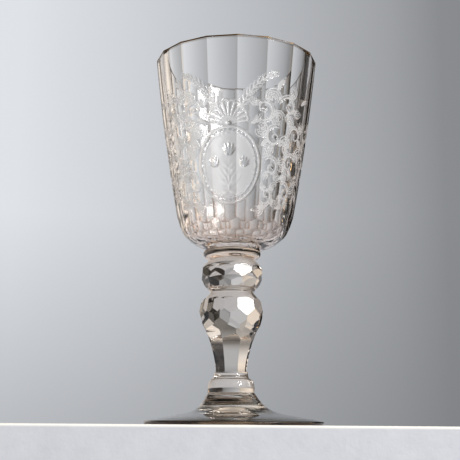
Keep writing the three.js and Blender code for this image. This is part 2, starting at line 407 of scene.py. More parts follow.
def intersected(bm_a, bm_b):
    """The common part of two bodies."""
    objects = []
    for bm, name in ((bm_a, "blank"), (bm_b, "prism")):
        obj = bpy.data.objects.new(name, to_mesh(bm, name))
        bpy.context.scene.collection.objects.link(obj)
        objects.append(obj)
    both = objects[0].modifiers.new("both", "BOOLEAN")
    both.operation = "INTERSECT"
    both.solver = "EXACT"
    both.object = objects[1]
    graph = bpy.context.evaluated_depsgraph_get()
    graph.update()
    result = bmesh.new()
    result.from_mesh(objects[0].evaluated_get(graph).to_mesh())
    for obj in objects:
        data = obj.data
        bpy.data.objects.remove(obj)
        bpy.data.meshes.remove(data)
    return result


# The foot: boss, flare and thin rounded edge, hollowed below
def foot_piece(material):
    top = height("foot")
    radius = (high("foot").x - low("foot").x) / 2
    edge_height, edge_back, edge_under = 1.8, 2.0, 1.2
    rest_width, arch_run = 5.2, 7
    flare_run, flare_rise = 5, 1.7
    bend, bend_run, bend_rise = (17.3, 5.8), 4.4, 1.95
    boss_radius, boss_run, boss_drop = 10.0, 1.6, 2.6
    ring_depth, ring_pitch, ring_fade = 0.025, 1.6, 0.8
    kick, pontil_radius, pontil_depth = 2.4, 8.5, 0.9
    painted_shade_width, painted_shade_fade = 0.9, 0.6

    outline = [(0, kick + pontil_depth)]
    outline += quad(outline[-1], (pontil_radius / 2, kick + pontil_depth), (pontil_radius, kick))
    rest_outer = radius - edge_under
    rest_inner = rest_outer - rest_width
    outline += quad(outline[-1], (rest_inner - arch_run, kick / 2), (rest_inner, 0))
    outline += [(rest_outer, 0)]
    outline += quad(outline[-1], (radius, 0), (radius, edge_height / 2), 6)
    outline += quad(outline[-1], (radius, edge_height), (radius - edge_back, edge_height), 8)
    flare = (radius - edge_back - flare_run, edge_height + flare_rise)
    outline += cubic(outline[-1], flare, (bend[0] + bend_run, bend[1] - bend_rise), bend, 24)
    # The tool left faint rings round the boss
    neck = (boss_radius + boss_run, top - boss_drop)
    for reach, level in cubic(bend, (bend[0] - bend_run, bend[1] + bend_rise), neck, (boss_radius, top), 60):
        fade = min(max(top - level, 0) / ring_fade, max(level - bend[1], 0) / ring_fade, 1)
        outline.append((reach + ring_depth * fade * math.sin(2 * math.pi * level / ring_pitch), level))
    outline += [(SEAT["foot"], top), (0, top)]

    def lean(level):
        return STEM_X * min(max((level - edge_height) / (top - edge_height), 0), 1)

    bm = lathe(outline, ROUND_SIDES, lean)
    mark_fused(bm, top, SEAT["foot"], centre_x=STEM_X)
    shade(bm)
    # The resting ring is ground, and the rim carries painted shade: a dark brown band for the dark edge the
    # rim shows
    matt, painted_shade = (bm.verts.layers.float.new(name) for name in ("matt", "painted_shade"))
    for v in bm.verts:
        v[matt] = 1.0 if v.co.z < 1e-4 else 0.0
        v[painted_shade] = min(max((math.hypot(v.co.x, v.co.y) - radius + painted_shade_width) / painted_shade_fade, 0), 1)
    finish_piece(to_mesh(bm, "foot"), "foot_glass", "foot", material)


# The stem, from the ground up
def stem_piece(bm, cad_node, material, seats, sharp_angle=40, flat_planes=()):
    """Finishes a bit of the stem. seats holds the level and radius of its flat seats."""
    bm.normal_update()
    for level, radius in seats:
        mark_fused(bm, level, radius)
    shade(bm, sharp_angle, flat_planes)
    mesh = to_mesh(bm, cad_node.replace("_", " "))
    finish_piece(mesh, cad_node + "_glass", cad_node, material, STEM_X)


def cut_stem_piece(bm, cad_node, material, cuts, lower_seat):
    """Grinds flats on a bit of the stem and finishes it. They may just reach past its top seat's edge."""
    planes = cut_planes(cuts)
    grind(bm, planes)
    seats = [(0, lower_seat), (height(cad_node), SEAT[cad_node] + 0.01)]
    stem_piece(bm, cad_node, material, seats, 24, planes)


def base_knop_piece(material):
    top, radius, side, top_round = height("base_knop"), 10.0, 1.6, 2.4
    seat = SEAT["base_knop"]
    outline = [(0, 0), (SEAT["foot"], 0), (radius, side)]
    outline += cubic(outline[-1], (radius, side + top_round), (seat + top_round / 2, top), (seat, top))
    bm = lathe(outline + [(0, top)], ROUND_SIDES)
    stem_piece(bm, "base_knop", material, [(0, SEAT["foot"]), (top, seat)])


def lower_ring_piece(material):
    top, waist = height("lower_ring"), 0.35
    middle = (SEAT["base_knop"] + SEAT["lower_ring"]) / 2 - waist
    outline = [(0, 0), (SEAT["base_knop"], 0)]
    outline += quad(outline[-1], (middle, top / 2), (SEAT["lower_ring"], top))
    bm = lathe(outline + [(0, top)], ROUND_SIDES)
    # The shaft stands on this ring with its flats, so its seat is cut out of the ring's top
    for point, normal in cut_planes([(top, SHAFT_APOTHEM, 0, even_turns(SHAFT_FLATS, 0))]):
        cap = top_faces(bm, top)
        geom = cap + list(dict.fromkeys(e for f in cap for e in f.edges))
        geom += list(dict.fromkeys(v for f in cap for v in f.verts))
        bmesh.ops.bisect_plane(bm, geom=geom, dist=1e-5, plane_co=point, plane_no=normal)
        bm.normal_update()
    mark_fused(bm, top, SHAFT_APOTHEM, flats=SHAFT_FLATS)
    stem_piece(bm, "lower_ring", material, [(0, SEAT["base_knop"])])


def baluster_piece(material):
    top, seat = height("baluster"), SEAT["baluster"]
    foot_radius, girdle_radius, girdle = 7.2, 14.45, 25.6
    outline = [(0, 0), (foot_radius, 0)]
    outline += cubic(
        outline[-1], (foot_radius, 10), (girdle_radius - 1, girdle - 6.6), (girdle_radius, girdle), 24
    )
    outline += cubic(outline[-1], (girdle_radius, girdle + 3.9), (seat + 0.7, top - 1.7), (seat, top), 20)
    blank = lathe(outline + [(0, top)], ROUND_SIDES)

    # The shaft's flats are the sides of a prism that flares towards the girdle
    corner = 1 / math.cos(math.pi / SHAFT_FLATS)
    flare, flare_level, flare_run, flare_drop = 12.3, 19.8, 2.9, 4.3
    foot = (SHAFT_APOTHEM * corner, 0)
    flare_handle = ((flare - flare_run) * corner, flare_level - flare_drop)
    shaft = [(0, 0), foot]
    shaft += cubic(foot, (foot[0], 5), flare_handle, (flare * corner, flare_level), 24)
    shaft += [((flare + (top - flare_level) * flare_run / flare_drop) * corner, top), (0, top)]
    prism = lathe(shaft, SHAFT_FLATS)
    bmesh.ops.rotate(prism, verts=prism.verts, matrix=Matrix.Rotation(math.pi / SHAFT_FLATS, 3, "Z"))
    # Both ends of the prism stand clear of the blank's, so that only its sides cut
    for v in prism.verts:
        if v.co.z < 1e-6:
            v.co.z = -1
        elif v.co.z > top - 1e-6:
            v.co.z = top + 1
    cut_stem_piece(intersected(blank, prism), "baluster", material, BALUSTER_CUTS, seat)


def neck_ring_piece(material):
    top, bulge = height("neck_ring"), 0.45
    low_seat, top_seat = SEAT["baluster"], SEAT["neck_ring"]
    outline = [(0, 0), (low_seat, 0)]
    outline += cubic(
        outline[-1], (low_seat + 2 * bulge, top / 4), (top_seat + 2 * bulge, 3 * top / 4), (top_seat, top)
    )
    bm = lathe(outline + [(0, top)], ROUND_SIDES)
    stem_piece(bm, "neck_ring", material, [(0, low_seat), (top, top_seat)])


def upper_knop_piece(material):
    top, seat = height("upper_knop"), SEAT["upper_knop"]
    radius, girdle, girdle_bend, underside = 13.75, 6.2, 2.6, 10.9
    outline = [(0, 0), (SEAT["neck_ring"], 0), (underside, 0)]
    outline += quad(outline[-1], (radius, girdle - girdle_bend), (radius, girdle), 16)
    outline += cubic(outline[-1], (radius, girdle + girdle_bend), (seat + 1.9, top - 0.95), (seat, top), 20)
    bm = lathe(outline + [(0, top)], ROUND_SIDES)
    cut_stem_piece(bm, "upper_knop", material, KNOP_CUTS, SEAT["neck_ring"])


def merese_piece(material):
    top, radius, tip, undercut, crown = height("merese"), 12.45, 2.6, 0.6, 1.0
    outline = [(0, 0), (SEAT["upper_knop"], 0), (SEAT["upper_knop"] + undercut, 0)]
    outline += quad(outline[-1], (radius, undercut), (radius, tip))
    outline += quad(outline[-1], (radius, top - crown / 2), (SEAT["merese"], top))
    bm = lathe(outline + [(0, top)], ROUND_SIDES)
    # The bowl stands on the foot's axis, so its seat lies to one side of this collar's
    for face in top_faces(bm, top):
        face.material_index = 1
    stem_piece(bm, "merese", material, [(0, SEAT["upper_knop"])])


# The bowl and the gilding are built from rings of vertices round the bowl's axis
BOWL = {
    "top": height("bowl"),
    "lip": 35.75,
    "shoulder": 25.35,
    "shoulder_level": 14.0,
    "swell": 0.7,
    "panel_foot": 8.0,
    "panel_foot_radius": 23.4,
    "lip_wall": 2.3,
    "shoulder_wall": 3.0,
    "floor": 4.6,
    "floor_edge": (11.5, 2.5),
    "ridge": 0.1,
}
# Spacing of the mesh: the columns in degrees, up to which turn from the front, and the rows in millimetres
COLUMNS = [(75, 0.66), (115, 1.0), (180, 3.6)]
ENGRAVED_ROWS, ENGRAVED_TOP, PLAIN_ROWS = 0.42, 80, 0.9


def wall_radius(level):
    """From the axis to a panel corner, on the straight of the wall."""
    share = (level - BOWL["shoulder_level"]) / (BOWL["top"] - BOWL["shoulder_level"])
    straight = BOWL["shoulder"] + (BOWL["lip"] - BOWL["shoulder"]) * share
    return straight + BOWL["swell"] * 4 * share * (1 - share)


def facet_radius(apothem, angles, first=PANEL_TURN, after=False):
    """The radius at each angle of a ring of flats, one for each panel, or of the next flat after that one."""
    off = np.abs((angles - first + PANEL_STEP / 2) % PANEL_STEP - PANEL_STEP / 2)
    return apothem / np.cos(np.radians(PANEL_STEP - off if after else off))


def spaced(start, end, spacing):
    """Even places from start on, without end."""
    return list(np.linspace(start, end, round((end - start) / spacing), endpoint=False))


def bowl_columns():
    """Angles of the mesh's columns: dense in front where the engraving is, with one on each panel edge."""
    columns = []
    for i in range(BOWL_PANELS):
        start = PANEL_TURN - PANEL_STEP / 2 + i * PANEL_STEP
        middle = (start + PANEL_STEP / 2 + 180) % 360 - 180
        spacing = next(spacing for reach, spacing in COLUMNS if abs(middle) <= reach)
        count = round(PANEL_STEP / spacing)
        columns += list(start + PANEL_STEP * np.arange(count) / count)
    return np.array(columns)


def ring_points(radius, angles, level):
    a = np.radians(angles)
    return np.stack([radius * np.sin(a), -radius * np.cos(a), np.full(len(a), level)], 1)


def ring_quads(rings, sides, closed=False):
    """The faces between each ring of vertices and the next, and back to the first where closed."""
    i = np.arange(sides)
    j = (i + 1) % sides
    quads = []
    for k in range(rings if closed else rings - 1):
        here, after = k * sides, (k + 1) % rings * sides
        quads += np.stack([here + i, here + j, after + j, after + i], 1).tolist()
    return quads


def bowl_outside(angles):
    """The levels of the rows, and at each level and angle the radius and how close to a ridge it is."""
    seat, top = SEAT["merese"], BOWL["top"]
    shoulder, shoulder_level = BOWL["shoulder"], BOWL["shoulder_level"]
    blank = [(seat, 0.0)]
    blank += cubic(
        (seat, 0), (seat + 8.8, 1.7), (shoulder - 1.5, shoulder_level - 7.8), (shoulder, shoulder_level), 48
    )
    slope = (BOWL["lip"] + 4 * BOWL["swell"] - shoulder) / (top - shoulder_level)
    wall_levels = spaced(shoulder_level, ENGRAVED_TOP, ENGRAVED_ROWS)[1:]
    wall_levels += spaced(ENGRAVED_TOP, top, PLAIN_ROWS) + [top]
    blank += [(shoulder + (z - shoulder_level) * slope, z) for z in wall_levels]
    blank = np.array(blank)
    blank_radius, level = blank[:, :1], blank[:, 1:]

    # Below the shoulder the panels run down to their foot, where the rows of base flats cut them off
    foot = BOWL["panel_foot_radius"]
    share = np.clip((level - BOWL["panel_foot"]) / (shoulder_level - BOWL["panel_foot"]), 0, 1)
    below = foot + (wall_radius(shoulder_level) - foot) * share
    corner = np.where(level < shoulder_level, below, wall_radius(level))
    flats = [(corner * math.cos(math.pi / BOWL_PANELS), PANEL_TURN)]
    for rise, apothem, lean, turned in BASE_FLATS:
        flats.append((apothem + lean * (level - rise), PANEL_TURN + turned * 360 / BOWL_PANELS))
    surfaces = [blank_radius + 0 * angles]
    for apothem, first in flats:
        surfaces += [facet_radius(apothem, angles, first, after) for after in (False, True)]
    surfaces = np.sort(np.stack(surfaces), 0)
    # Where flats meet, the ridges carry painted shade: brown lines like those that rounded ridges show, most
    # at the base
    near_base = np.interp(level, [13, 22, 60], [1, 0.45, 0.25])
    ridge = np.clip(1 - (surfaces[1] - surfaces[0]) / BOWL["ridge"], 0, 1) * near_base
    return level[:, 0], surfaces[0], ridge


def bowl_inside():
    """Radii and levels of the inside, from the lip down to near the middle of the floor."""
    top, shoulder_level = BOWL["top"], BOWL["shoulder_level"]
    points = []
    for z in np.linspace(top, shoulder_level, 20):
        along = (z - shoulder_level) / (top - shoulder_level)
        wall = BOWL["shoulder_wall"] + (BOWL["lip_wall"] - BOWL["shoulder_wall"]) * along
        points.append((wall_radius(z) - wall, z))
    points[0] = (BOWL["lip"] - BOWL["lip_wall"], top)
    shoulder = (BOWL["shoulder"] - BOWL["shoulder_wall"], shoulder_level)
    points += cubic(shoulder, (22.2, 8.2), (18.4, 3.2), BOWL["floor_edge"], 28)
    points += quad(BOWL["floor_edge"], (7.0, 2.1), (1.5, BOWL["floor"]), 12)
    return points


def mark_crisp(mesh, angles, levels):
    """Sharpens the panel edges, the lip and the seat."""
    count, lip_row = len(angles), len(levels) - 1
    on_edge = np.abs(((angles - PANEL_TURN) % PANEL_STEP) - PANEL_STEP / 2) < 1e-6
    first_panel_row = int(np.argmax(levels > BOWL["panel_foot"]))
    ends = np.zeros(len(mesh.edges) * 2, np.int64)
    mesh.edges.foreach_get("vertices", ends)
    row, column = ends.reshape(-1, 2) // count, ends.reshape(-1, 2) % count
    in_wall = (row.max(1) <= lip_row) & (row.min(1) >= first_panel_row)
    sharp = in_wall & (column[:, 0] == column[:, 1]) & on_edge[column[:, 0]]
    sharp |= (row[:, 0] == row[:, 1]) & np.isin(row[:, 0], (0, lip_row, lip_row + 1))
    mesh.attributes.new("sharp_edge", "BOOLEAN", "EDGE").data.foreach_set("value", sharp)


def bowl_piece(material, engraving):
    angles = bowl_columns()
    levels, outer, ridge = bowl_outside(angles)
    depth, matt = engraving.cut(angles, levels)
    rows = [ring_points(r, angles, z) for r, z in zip(outer - depth, levels)]
    rows += [ring_points(r, angles, z) for r, z in bowl_inside()]
    verts = np.concatenate(rows + [np.array([[0, 0, 0], [0, 0, BOWL["floor"]]])])
    count = len(angles)
    under, floor = len(verts) - 2, len(verts) - 1
    last = (len(rows) - 1) * count
    faces = ring_quads(len(rows), count)
    under_start = len(faces)
    faces += [(under, (i + 1) % count, i) for i in range(count)]
    faces += [(last + i, last + (i + 1) % count, floor) for i in range(count)]

    mesh = bpy.data.meshes.new("bowl")
    mesh.from_pydata(verts.tolist(), [], faces)
    mesh.polygons.foreach_set("use_smooth", np.ones(len(faces), bool))
    # The gilding sits on the ring of faces over the last outer row
    material_index = np.zeros(len(faces), np.int32)
    for start in ((len(levels) - 1) * count, under_start):
        material_index[start:start + count] = 1
    mesh.polygons.foreach_set("material_index", material_index)
    # matt marks the engraving, and the other attribute marks painted shade along the ridges, off the
    # engraving
    for name, values in (("matt", matt), ("painted_shade", ridge * (1 - matt))):
        amount = np.zeros(len(verts), np.float32)
        amount[:values.size] = values.ravel()
        mesh.attributes.new(name, "FLOAT", "POINT").data.foreach_set("value", amount)
    mark_crisp(mesh, angles, levels)
    finish_piece(mesh, "bowl_glass_body", "bowl", material)


# The gilt lip
def gilding_piece(material):
    top, edge = height("rim_gilding"), 0.15
    outer = BOWL["lip"]
    inner = outer - BOWL["lip_wall"]
    angles = bowl_columns()

    def panelled(radius):
        return facet_radius(radius * math.cos(math.pi / BOWL_PANELS), angles)

    rings = [
        (panelled(outer), 0.0),
        (panelled(outer), top - edge),
        (panelled(outer - edge * 0.3), top - edge * 0.3),
        (panelled(outer - edge), top),
        (inner + edge, top),
        (inner, top - edge),
        (inner, 0.0),
    ]
    verts = np.concatenate([ring_points(r, angles, z) for r, z in rings])
    mesh = bpy.data.meshes.new("gilding")
    mesh.from_pydata(verts.tolist(), [], ring_quads(len(rings), len(angles), closed=True))
    bm = bmesh.new()
    bm.from_mesh(mesh)
    for face in bm.faces:
        if face.normal.z < -0.999:
            face.material_index = 1
    shade(bm, 15)
    inside = bm.verts.layers.float.new("inner")
    for v in bm.verts:
        v[inside] = 1.0 if math.hypot(v.co.x, v.co.y) < inner + 2 * edge else 0.0
    bm.to_mesh(mesh)
    bm.free()
    finish_piece(mesh, "rim_gilding", "rim_gilding", material)


# The engraving. Places are complex numbers: mm along the wall, at DRAWING_RADIUS, and mm up the bowl.
DRAWING_RADIUS = 30
CUT_STEP = 0.15
# How far the veins of a scroll's leaves turn, in radians
LEAF_BEND = 3.0


class Engraving:
    """Strokes of an engraver's wheel, collected and then cut into the wall. Half widths and depths in mm."""

    def __init__(self):
        self.strokes = []
        self.fields = []

    def field(self, centre, half_width, half_height, matt, hatch):
        """An oval ground matt with fine upright lines, hatch mm apart."""
        self.fields.append((centre, half_width, half_height, matt, hatch))

    def stroke(self, points, width=0.4, depth=0.28, tip=0.3, heel=0.6):
        """One matt cut along points, swelling from heel to its full width and thinning to tip."""
        points = np.asarray(points, complex)
        along = np.concatenate([[0], np.cumsum(np.abs(np.diff(points)))])
        t = np.linspace(0, along[-1], max(3, int(along[-1] / CUT_STEP) + 1))
        line = np.interp(t, along, points.real) + 1j * np.interp(t, along, points.imag)
        share = t / max(along[-1], 1e-6)
        swell_in = np.minimum(heel + (1 - heel) * share / 0.3, 1)
        swell = swell_in * np.minimum(tip + (1 - tip) * (1 - share) / 0.55, 1)
        self.strokes.append((line, width * swell, depth * swell, 0.0))

    def olive(self, centre, length, width, turn, depth=0.5):
        """A short deep cut, polished bright."""
        t = np.linspace(-1, 1, max(3, int(length / CUT_STEP)))
        round_end = np.sqrt(np.clip(1.02 - t**2, 0, 1))
        line = centre + length / 2 * t * np.exp(1j * turn)
        self.strokes.append((line, width * round_end, depth * round_end, 1.0))

    def curl(self, start, heading, length, bend, **cut):
        """A stroke that leaves start along heading and turns by bend, more sharply towards its end."""
        t = np.linspace(0, 1, 14)
        direction = np.exp(1j * (heading + bend * t**1.4))
        steps = (direction[1:] + direction[:-1]) / 2 * length / (len(t) - 1)
        self.stroke(start + np.concatenate([[0], np.cumsum(steps)]), **cut)

    def leaf(self, base, heading, length, bend, lobes, fan):
        """A leaf as the wheel cuts it: strokes that fan out of one place and curl the same way."""
        for k in np.linspace(-1, 1, lobes):
            self.curl(base, heading + k * fan, length * (1 - 0.22 * abs(k)), bend * (1 + 0.25 * k))

    def acanthus(self, centre, outer, start, hand, reach):
        """A leafy scroll: a doubled stem winds in to an eye, with leaves of nested arcs and tendrils."""
        turns, leaves, veins = 1.35, 4, 4
        # Places along the stem, of 90: how far its double and its leaves go, and from a leaf to its tendril
        double_end, leaf_end, tendril_step = 52, 58, 6
        t = np.linspace(0, 1, 90)
        angle = start + hand * 2 * math.pi * turns * t
        radius = outer * 0.2**t
        stem = centre + radius * np.exp(1j * angle)
        self.stroke(stem, width=0.46, depth=0.32, tip=0.5)
        double = centre + (radius + 1.15 * (1 - t)) * np.exp(1j * angle)
        self.stroke(double[:double_end], width=0.32, depth=0.22)
        self.olive(centre, 1.2, 0.65, 0, 0.45)
        for k in range(leaves):
            where = int(leaf_end * (k + 0.1) / leaves)
            along = angle[where] + hand * math.pi / 2
            leaf_radius = reach / LEAF_BEND * (1 - 0.09 * k)
            for m in range(veins):
                vein = leaf_radius * (1 - m / veins)
                base = centre + (radius[where] + leaf_radius - vein) * np.exp(1j * angle[where])
                bend = -hand * LEAF_BEND
                self.curl(base, along, vein * LEAF_BEND, bend, width=0.36, depth=0.26, heel=0.35)
            heading = angle[where] + math.pi - hand * 0.7
            tendril = stem[where + tendril_step]
            self.curl(tendril, heading, 0.42 * radius[where], hand * 0.9, width=0.28, depth=0.18)

    def frond(self, points, count, length):
        """A palm branch: a stem with leaves on both sides that shorten to its tip."""
        lean, bend = 0.7, 0.5
        self.stroke(points, width=0.34, depth=0.24, heel=1)
        for k in range(count):
            where = int((len(points) - 2) * (k + 0.5) / count)
            heading = np.angle(points[where + 1] - points[where])
            size = length * (1 - 0.55 * k / count)
            for out in (-1, 1):
                self.curl(points[where], heading + out * lean, size, -bend * out, width=0.36, depth=0.26)

    def cut(self, angles, levels):
        """Depth in mm and mattness at each level and angle."""
        across = np.radians((angles + 180) % 360 - 180) * DRAWING_RADIUS
        order = np.argsort(across)
        columns = across[order]
        depth = np.zeros((len(levels), len(angles)))
        matt = np.zeros_like(depth)
        for centre, half_width, half_height, ground, hatch in self.fields:
            u = (across[None, :] - centre.real) / half_width
            v = (levels[:, None] - centre.imag) / half_height
            lines = 0.85 + 0.15 * np.cos(2 * math.pi * across[None, :] / hatch)
            matt = np.maximum(matt, np.clip((1 - np.hypot(u, v)) * 30, 0, 1) * ground * lines)
        for line, width, deep, polish in self.strokes:
            margin = width.max()
            c0, c1 = np.searchsorted(columns, [line.real.min() - margin, line.real.max() + margin])
            r0, r1 = np.searchsorted(levels, [line.imag.min() - margin, line.imag.max() + margin])
            if c0 == c1 or r0 == r1:
                continue
            grid = columns[c0:c1][None, :, None] + 1j * levels[r0:r1][:, None, None]
            hollow = np.clip(1 - (np.abs(grid - line) / np.maximum(width, 1e-3)) ** 2, 0, 1)
            cells = np.ix_(range(r0, r1), order[c0:c1])
            depth[cells] = np.maximum(depth[cells], (hollow * deep).max(2))
            ground = np.clip(hollow.max(2) * 2.2, 0, 1)
            matt[cells] = np.maximum(matt[cells] * (1 - polish * ground), ground * (1 - polish))
        return depth, matt


def cartouche(e, middle, half_width, half_height):
    """A double oval frame with a row of beads in it, round a matt ground."""
    def oval(scale, a):
        return middle + scale * (half_width * np.cos(a) + 1j * half_height * np.sin(a))

    around = np.linspace(0, 2 * math.pi, 120)
    e.field(middle, 0.86 * half_width, 0.86 * half_height, 0.8, 0.9)
    e.stroke(oval(1.0, around), width=0.5, depth=0.32, tip=1, heel=1)
    e.stroke(oval(0.87, around), width=0.3, depth=0.18, tip=1, heel=1)
    for a in np.linspace(0, 2 * math.pi, 40, endpoint=False):
        e.olive(oval(0.935, a), 0.45, 0.42, a, 0.28)


def tulips(e, foot):
    """A bunch of tulips: stems, blooms seen from the side and long leaves."""
    # Blooms: reach, rise, size. Petals: lean, length, width. Leaves: rise, lean, length.
    blooms = [(0, 14.5, 5.0), (-7.2, 10.0, 4.2), (7.2, 10.0, 4.2)]
    petals = [(0, 1.0, 0.2), (-0.42, 1.0, 0.17), (0.42, 1.0, 0.17), (-0.85, 0.8, 0.12), (0.85, 0.8, 0.12)]
    leaves = [(2.2, 1.2, 7.4), (6.2, 0.95, 5.0), (9.6, 1.35, 3.6), (0.0, 2.0, 5.2), (3.6, 1.75, 5.4)]
    t = np.linspace(0, 1, 20)
    for reach, rise, size in blooms:
        neck = foot + reach * 0.8 + 1j * rise
        heading = math.pi / 2 - 0.07 * reach
        e.stroke(foot + reach * 0.8 * t**1.8 + 1j * rise * t, width=0.36, depth=0.26, heel=1)
        for lean, length, width in petals:
            out = np.exp(1j * (heading + lean))
            e.olive(neck + out * size * 0.5 * length, size * length, size * width, heading + 0.75 * lean)
    for side in (-1, 1):
        for rise, lean, length in leaves:
            e.leaf(foot + 1j * rise, math.pi / 2 - side * lean, length, side * 0.8, lobes=3, fan=0.2)


def shell(e, hinge):
    """A shell: ribs that spread from its hinge, with a scallop between each two."""
    ribs = np.linspace(-1.35, 1.35, 11)
    arc = np.linspace(-0.5, 0.5, 9) * math.pi
    for k, a in enumerate(ribs):
        out = np.exp(1j * (math.pi / 2 - a))
        reach = 8.8 - 1.4 * abs(a)
        e.stroke([hinge + out * 1.5, hinge + out * reach], width=0.46, depth=0.3, tip=1, heel=0.4)
        if k:
            gap = np.exp(1j * (math.pi / 2 - (a + ribs[k - 1]) / 2))
            scallop = hinge + gap * (reach + 0.6 + 0.8 * np.cos(arc) + 1j * 1.05 * np.sin(arc))
            e.stroke(scallop, width=0.36, depth=0.26, tip=1, heel=1)
    e.olive(hinge + 0.4j, 1.6, 1.0, 0, 0.55)


def palm_branches(e, hinge):
    """Two palm branches that spread from the shell."""
    t = np.linspace(0, 1, 30)
    for side in (-1, 1):
        rise = 6.5 + 17 * np.sin(math.pi * 0.42 * t)
        e.frond(hinge + side * (5.0 + 15 * t**1.3) + 1j * rise, 10, 4.6)


# Scrolls on each side: distance from the cartouche's middle, level, the stem's first radius and angle in
# radians, which way it winds, and the reach of its leaves
SCROLLS = [
    (14.6, 55.0, 5.2, 4.3, 1, 10.6),
    (26.5, 57.5, 5.0, 3.0, -1, 10.4),
    (20.2, 43.6, 4.8, 1.2, 1, 10.0),
    (32.6, 46.5, 4.8, 4.0, -1, 10.0),
    (19.8, 31.0, 4.3, 2.4, -1, 9.4),
    (30.4, 34.0, 4.5, 0.4, 1, 9.8),
    (18.4, 19.5, 4.0, 3.9, 1, 9.0),
    (29.4, 21.5, 4.2, 2.2, -1, 9.2),
    (41.6, 36.5, 4.4, 3.4, -1, 9.6),
    (40.4, 24.0, 4.0, 0.8, 1, 9.0),
    (44.2, 50.5, 4.6, 2.6, 1, 9.6),
]
# Leaves between them: distance, level, heading and length, and how far they bend
LOOSE_LEAVES = [
    (9.0, 48.5, 0.3, 6.0, 0.8),
    (20.5, 63.5, 1.5, 7.0, -0.9),
    (34.5, 60.5, 0.9, 7.5, -0.8),
    (13.8, 39.0, 1.1, 6.0, -0.9),
    (25.8, 39.5, 0.5, 5.5, 0.9),
    (13.4, 14.4, -0.2, 6.0, 0.7),
    (24.4, 26.5, 0.9, 5.0, -0.9),
    (24.0, 14.6, 0.1, 5.5, 0.7),
    (36.5, 41.5, 0.3, 5.0, 0.9),
    (35.5, 29.0, 0.6, 5.0, -0.9),
    (47.0, 30.0, 0.9, 6.0, -0.7),
]


def foliage(e, middle):
    for side in (-1, 1):
        def place(distance, level):
            return middle.real + side * distance + 1j * level

        def mirrored(heading):
            return heading if side > 0 else math.pi - heading

        for distance, level, outer, start, hand, reach in SCROLLS:
            e.acanthus(place(distance, level), outer, mirrored(start), hand * side, reach)
        for distance, level, heading, length, bend in LOOSE_LEAVES:
            e.leaf(place(distance, level), mirrored(heading), length, side * bend, lobes=5, fan=0.24)


def ornament():
    """A traditional engraved front: tulips in an oval, a shell, palm branches and leafy scrolls."""
    e = Engraving()
    middle, half_width, half_height = -3 + 31j, 13.4, 15.6
    hinge = middle + 1j * (half_height + 1.2)
    cartouche(e, middle, half_width, half_height)
    tulips(e, middle - 10.5j)
    shell(e, hinge)
    palm_branches(e, hinge)
    foliage(e, middle)
    return e


# The stem's glass turns dark brown where one looks along it, which is painted shade on its side facets
clear = glass_material("clear glass", (0.85, 0.815, 0.775), (0.42, 0.27, 0.15), 0.000004, steep=0.12)
# The foot's rim gets the darker painted shade
foot_glass = glass_material(
    "foot glass", (0.92, 0.885, 0.84), (0.70, 0.55, 0.42), 0.000008, steep=0.5, painted_shade=RIM_PAINTED_SHADE
)
warm_glass = glass_material("warm glass", (0.97, 0.83, 0.71), (0.94, 0.70, 0.54), 0.000004)
thick_levels = [(low("bowl").z + rise) * MM for rise in (22, 8)]
bowl_glass = glass_material("bowl glass", (0.99, 0.985, 0.98), (0.965, 0.835, 0.755), thick=thick_levels)
foot_piece(foot_glass)
base_knop_piece(clear)
lower_ring_piece(clear)
baluster_piece(clear)
neck_ring_piece(clear)
upper_knop_piece(clear)
merese_piece(warm_glass)
bowl_piece(bowl_glass, ornament())
gilding_piece(gilding_material())


# The plinth that stands in for the floor, in metres
def plinth_paint_and_highlight(front):
    material, tree = new_material("plinth paint")
    paint = node(tree, "ShaderNodeBsdfPrincipled", Roughness=0.6)
    mottle = tones(tree, noise(tree, 90.0, 6.0, 0.7), [(0, (0.62, 0.625, 0.65)), (1, (0.80, 0.805, 0.83))])
    feed(tree, bump(tree, noise(tree, 420.0, 5.0), 0.5, 0.0004), paint.inputs["Normal"])
    # Its top front edge carries a painted highlight: a paler colour and a faint warm glow
    _, y, z = place_parts(tree)
    near_front = between(tree, y, front + 0.0015, front + 0.0005)
    near_top = between(tree, z, -0.0013, -0.0005)
    edge = math_node(tree, "MULTIPLY", near_front, near_top)
    feed(tree, mix(tree, edge, mottle, (0.9, 0.88, 0.82, 1)), paint.inputs["Base Color"])
    # The painted highlight also glows warm, though no lamp is there
    paint.inputs["Emission Color"].default_value = (1.0, 0.93, 0.78, 1)
    feed(tree, math_node(tree, "MULTIPLY", edge, 0.22), paint.inputs["Emission Strength"])
    show(tree, paint.outputs["BSDF"])
    return material


def plinth():
    half_width, back, thickness, front, worn = 0.9, 0.9, 0.12, -0.0415, 0.0006
    bm = bmesh.new()
    bmesh.ops.create_cube(bm, size=1)
    bmesh.ops.scale(bm, vec=(half_width * 2, back - front, thickness), verts=bm.verts)
    bmesh.ops.translate(bm, vec=(0, (back + front) / 2, -thickness / 2), verts=bm.verts)
    bmesh.ops.bevel(bm, geom=bm.edges[:], offset=worn, segments=3, affect="EDGES")
    obj = bpy.data.objects.new("plinth", to_mesh(bm, "plinth"))
    bpy.context.scene.collection.objects.link(obj)
    obj.data.materials.append(plinth_paint_and_highlight(front))


plinth()


# The backdrop: degrees right of straight back (+Y), with its linear brightness up at BACKDROP_RISE and at 0
BACKDROP_RISE = 12
BACKDROP = [
    (-180, 0.42, 0.34), (-60, 0.80, 0.52), (-12.8, 0.765, 0.505), (-9.8, 0.71, 0.478), (-6.4, 0.655, 0.447),
    (5.8, 0.425, 0.319), (9.3, 0.365, 0.280), (12.8, 0.26, 0.228), (40, 0.16, 0.16),
]
BACKDROP_TINT = (0.97, 1.0, 1.05)
# In reflections and through the glass, the backdrop fades into the room over these turns and rises
BACKDROP_SIDES = (12.5, 16)
BACKDROP_TOP = (22, 28)
